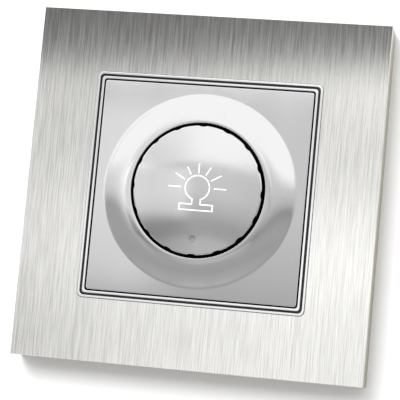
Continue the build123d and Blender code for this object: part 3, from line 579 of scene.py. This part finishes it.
# Wall: a pale plane with the hole of the wall box, which shows only from the room's side and glows a
# little for the camera alone
def wall_material():
    made = material("wall", (0.8, 0.8, 0.8), 0.7)
    tree = made.node_tree
    paths = tree.nodes.new("ShaderNodeLightPath")
    geometry = tree.nodes.new("ShaderNodeNewGeometry")
    glow = tree.nodes.new("ShaderNodeEmission")
    glow.inputs["Strength"].default_value = WALL_GLOW
    both = tree.nodes.new("ShaderNodeAddShader")
    seen = tree.nodes.new("ShaderNodeMixShader")
    sided = tree.nodes.new("ShaderNodeMixShader")
    clear = tree.nodes.new("ShaderNodeBsdfTransparent")
    tree.links.new(shader_of(made).outputs["BSDF"], both.inputs[0])
    tree.links.new(glow.outputs["Emission"], both.inputs[1])
    tree.links.new(paths.outputs["Is Camera Ray"], seen.inputs["Fac"])
    tree.links.new(shader_of(made).outputs["BSDF"], seen.inputs[1])
    tree.links.new(both.outputs["Shader"], seen.inputs[2])
    tree.links.new(geometry.outputs["Backfacing"], sided.inputs["Fac"])
    tree.links.new(seen.outputs["Shader"], sided.inputs[1])
    tree.links.new(clear.outputs["BSDF"], sided.inputs[2])
    tree.links.new(sided.outputs["Shader"], tree.nodes["Material Output"].inputs["Surface"])
    return made


def make_wall():
    mesh = bmesh.new()
    inner, outer = [], []
    for step in range(WALL_STEPS):
        angle = 2 * math.pi * step / WALL_STEPS
        across = Vector((math.cos(angle), 0.0, math.sin(angle)))
        reach = WALL_HALF / max(abs(across.x), abs(across.z))
        inner.append(mesh.verts.new(across * WALL_HOLE_RADIUS + Vector((0.0, WALL_GAP, 0.0))))
        outer.append(mesh.verts.new(across * reach + Vector((0.0, WALL_GAP, 0.0))))
    for step in range(WALL_STEPS):
        following = (step + 1) % WALL_STEPS
        mesh.faces.new((inner[step], outer[step], outer[following], inner[following]))
    wall = make_piece("wall", mesh, wall_material())
    wall.visible_shadow = False


def make_camera():
    camera = bpy.data.objects.new("camera", bpy.data.cameras.new("camera"))
    scene.collection.objects.link(camera)
    camera.data.lens = CAMERA_LENS
    camera.data.sensor_width = CAMERA_SENSOR
    camera.data.clip_start = CAMERA_NEAR
    forward = CAMERA_FORWARD.normalized()
    right = forward.cross(CAMERA_UP).normalized()
    up = right.cross(forward)
    turn = Matrix((right, up, -forward)).transposed().to_4x4()
    camera.matrix_world = Matrix.Translation(CAMERA_PLACE) @ turn
    scene.camera = camera


# World: levels by the sine of the elevation, in front of the switch and further out, shares of them by
# the side near the horizon, and an arch that lifts the levels at the sides
ROOM_STRENGTH = 1.4
FRONT_LEVELS = (
    (-1.0, 0.50), (-0.85, 0.42), (-0.5, 0.36), (-0.2, 0.38), (-0.06, 0.50), (-0.028, 0.51), (-0.021, 0.37),
    (0.01, 0.36), (0.04, 0.48), (0.09, 0.62), (0.160, 0.62), (0.172, 1.0), (1.0, 1.0),
)
OUTER_LEVELS = (
    (-1.0, 0.50), (-0.85, 0.42), (-0.5, 0.36), (-0.2, 0.38), (-0.08, 0.5), (0.05, 0.9), (0.12, 1.0),
    (1.0, 1.0),
)
OUTER_REACH = (0.04, 0.10)
SIDE_LEVELS = (
    (-1.0, 0.7), (-0.75, 0.8), (-0.5, 1.0), (-0.3, 0.68), (-0.24, 0.78), (-0.18, 1.0), (-0.1, 1.0),
    (0.0, 0.85), (0.1, 0.62), (1.0, 0.58),
)
SIDE_RISE = (-0.25, -0.05)
SIDE_FADE = (0.12, 0.35)
ARCH = 1.3
ARCH_MIDDLE = -0.17
ARCH_LIMIT = 0.12

# A band over the lens that is dark for the sheet and the trim alone, a pale patch under it for the rest,
# and a glow under it for the sheet and the trim. An edge fades from one number of its pair to the other
BAND_DARK = 0.88
BAND_RISE = (0.163, 0.174)
BAND_FALL = (0.32, 0.42)
BAND_LEFT = (-0.66, -0.5)
BAND_RIGHT = (0.15, 0.5)
BAND_TILT = 0.08
BAND_MIDDLE = -0.18
PALE_LEVEL = 0.3
PALE_RISE = (0.0, 0.04)
PALE_FALL = (0.138, 0.158)
PALE_LEFT = (-0.5, -0.4)
PALE_RIGHT = (-0.23, -0.18)
GLOW_LEVEL = 0.36
GLOW_FADE = (0.04, 0.13)
GLOW_LEFT = (-0.37, -0.22)
GLOW_LOW = (-0.3, -0.15)
SCREEN_DISTANCE = 6.0
SCREEN_STEP = 0.1
SCREEN_HALF = 6.0


def level_ramp(tree, value, stops):
    """Level at a value between -1 and 1, from stops of a value and its level."""
    ramp = tree.nodes.new("ShaderNodeValToRGB")
    points = ramp.color_ramp.elements
    while len(points) < len(stops):
        points.new(0.5)
    for point, (stop, level) in zip(points, stops):
        point.position = (stop + 1.0) / 2.0
        point.color = (level, level, level, 1.0)
    tree.links.new(calc(tree, "MULTIPLY_ADD", value, 0.5, 0.5), ramp.inputs["Fac"])
    return ramp.outputs["Color"]


def patch_share(tree, across, upward, left, right, rise, fall):
    """Share of a soft-edged patch in a direction, from 0 to 1."""
    sides = calc(tree, "MULTIPLY", eased(tree, across, *left), eased(tree, across, *reversed(right)))
    heights = calc(tree, "MULTIPLY", eased(tree, upward, *rise), eased(tree, upward, *reversed(fall)))
    return calc(tree, "MULTIPLY", sides, heights)


def band_share(tree, across, upward):
    upward = calc(tree, "MULTIPLY_ADD", calc(tree, "SUBTRACT", across, BAND_MIDDLE), -BAND_TILT, upward)
    return patch_share(tree, across, upward, BAND_LEFT, BAND_RIGHT, BAND_RISE, BAND_FALL)


def glow_share(tree, across, upward):
    return patch_share(tree, across, upward, GLOW_LEFT, BAND_RIGHT, GLOW_LOW, GLOW_FADE)


def pale_share(tree, across, upward):
    return patch_share(tree, across, upward, PALE_LEFT, PALE_RIGHT, PALE_RISE, PALE_FALL)


def blend(tree, first, second, share):
    """From the first to the second value by a share."""
    return calc(tree, "MULTIPLY_ADD", calc(tree, "SUBTRACT", second, first), share, first)


def room_level(tree, across, upward):
    """Level of the room in a direction, before the band takes its share."""
    side = calc(tree, "SUBTRACT", across, ARCH_MIDDLE)
    square = calc(tree, "MULTIPLY", side, side)
    lift = calc(tree, "MINIMUM", calc(tree, "MULTIPLY", square, ARCH), ARCH_LIMIT)
    middle = level_ramp(tree, calc(tree, "ADD", lift, upward), FRONT_LEVELS)
    outer = level_ramp(tree, upward, OUTER_LEVELS)
    front = blend(tree, middle, outer, eased(tree, square, *OUTER_REACH))
    share = level_ramp(tree, across, SIDE_LEVELS)
    rise, fade = eased(tree, upward, *SIDE_RISE), eased(tree, upward, *reversed(SIDE_FADE))
    low = calc(tree, "MULTIPLY", rise, fade)
    return calc(tree, "MULTIPLY", front, blend(tree, 1.0, share, low))


def band_level(tree, across, upward):
    """What the band takes from the room, for the screen that gives it back."""
    return calc(tree, "MULTIPLY", room_level(tree, across, upward), band_share(tree, across, upward))


def make_world():
    world = bpy.data.worlds.new("room")
    world.use_nodes = True
    scene.world = world
    tree = world.node_tree
    background = tree.nodes["Background"]
    background.inputs["Strength"].default_value = ROOM_STRENGTH
    place = tree.nodes.new("ShaderNodeTexCoord")
    split = tree.nodes.new("ShaderNodeSeparateXYZ")
    tree.links.new(place.outputs["Generated"], split.inputs["Vector"])
    across, upward = split.outputs["X"], split.outputs["Z"]
    dimmed = calc(tree, "MULTIPLY_ADD", band_share(tree, across, upward), -BAND_DARK, 1.0)
    level = calc(tree, "MULTIPLY", room_level(tree, across, upward), dimmed)
    tree.links.new(level, background.inputs["Color"])
    paths = tree.nodes.new("ShaderNodeLightPath")
    white = tree.nodes.new("ShaderNodeBackground")
    white.inputs["Color"].default_value = (1.0, 1.0, 1.0, 1.0)
    mix = tree.nodes.new("ShaderNodeMixShader")
    tree.links.new(paths.outputs["Is Camera Ray"], mix.inputs["Fac"])
    tree.links.new(background.outputs["Background"], mix.inputs[1])
    tree.links.new(white.outputs["Background"], mix.inputs[2])
    tree.links.new(mix.outputs["Shader"], tree.nodes["World Output"].inputs["Surface"])


# Screens: far, clear sheets in front of the switch that light some of its nodes and not the others
def screen_material(name, share_of, level):
    made = bpy.data.materials.new(name)
    made.use_nodes = True
    tree = made.node_tree
    tree.nodes.remove(shader_of(made))
    place = tree.nodes.new("ShaderNodeTexCoord")
    straight = tree.nodes.new("ShaderNodeVectorMath")
    straight.operation = "NORMALIZE"
    split = tree.nodes.new("ShaderNodeSeparateXYZ")
    tree.links.new(place.outputs["Object"], straight.inputs[0])
    tree.links.new(straight.outputs["Vector"], split.inputs["Vector"])
    glow = tree.nodes.new("ShaderNodeEmission")
    share = share_of(tree, split.outputs["X"], split.outputs["Z"])
    tree.links.new(calc(tree, "MULTIPLY", share, level * ROOM_STRENGTH), glow.inputs["Strength"])
    clear = tree.nodes.new("ShaderNodeBsdfTransparent")
    both = tree.nodes.new("ShaderNodeAddShader")
    tree.links.new(glow.outputs["Emission"], both.inputs[0])
    tree.links.new(clear.outputs["BSDF"], both.inputs[1])
    tree.links.new(both.outputs["Shader"], tree.nodes["Material Output"].inputs["Surface"])
    return made


def make_screen(name, distance, share_of, level, lit):
    mesh = bmesh.new()
    corners = ((-1, -1), (-1, 1), (1, 1), (1, -1))
    mesh.faces.new([mesh.verts.new((x * SCREEN_HALF, -distance, z * SCREEN_HALF)) for x, z in corners])
    screen = make_piece(name, mesh, screen_material(name, share_of, level))
    screen.visible_camera = False
    receivers = bpy.data.collections.new(name + "_lit")
    for piece in lit:
        receivers.objects.link(piece)
    screen.light_linking.receiver_collection = receivers


def make_screens():
    """The band and the patch go to all but the sheet and the trim, and the glow to those two."""
    sheet = [nodes["face_sheet"], nodes["trim_ring"]]
    left_out = sheet + [scene.objects["wall"]]
    others = [piece for piece in scene.objects if piece.type == "MESH" and piece not in left_out]
    make_screen("band_screen", SCREEN_DISTANCE, band_level, BAND_DARK, others)
    make_screen("pale_screen", SCREEN_DISTANCE + 2 * SCREEN_STEP, pale_share, PALE_LEVEL, others)
    make_screen("glow_screen", SCREEN_DISTANCE + SCREEN_STEP, glow_share, GLOW_LEVEL, sheet)


# Lamps, aimed at the switch, in metres and watts: a soft key from the upper left, kept out of reflections,
# and a dim one behind
LAMPS = {
    "key": dict(place=(-0.22, -0.80, 0.37), side=0.45, power=7.5, reflected=False),
    "back_fill": dict(place=(0.3, 0.8, 0.3), side=0.5, power=2.5, reflected=True),
}


def make_lamp(name, place, side, power, reflected):
    light = bpy.data.lights.new(name, "AREA")
    light.shape = "SQUARE"
    light.size = side
    light.energy = power
    lamp = bpy.data.objects.new(name, light)
    scene.collection.objects.link(lamp)
    lamp.location = place
    lamp.rotation_mode = "QUATERNION"
    lamp.rotation_quaternion = (-Vector(place)).to_track_quat("-Z", "Y")
    lamp.visible_camera = False
    lamp.visible_glossy = reflected


dress_nodes()
squash_spring()
make_symbol()
make_wall()
make_camera()
make_world()
make_screens()
for name, lamp in LAMPS.items():
    make_lamp(name, **lamp)

scene.view_settings.view_transform = "Standard"
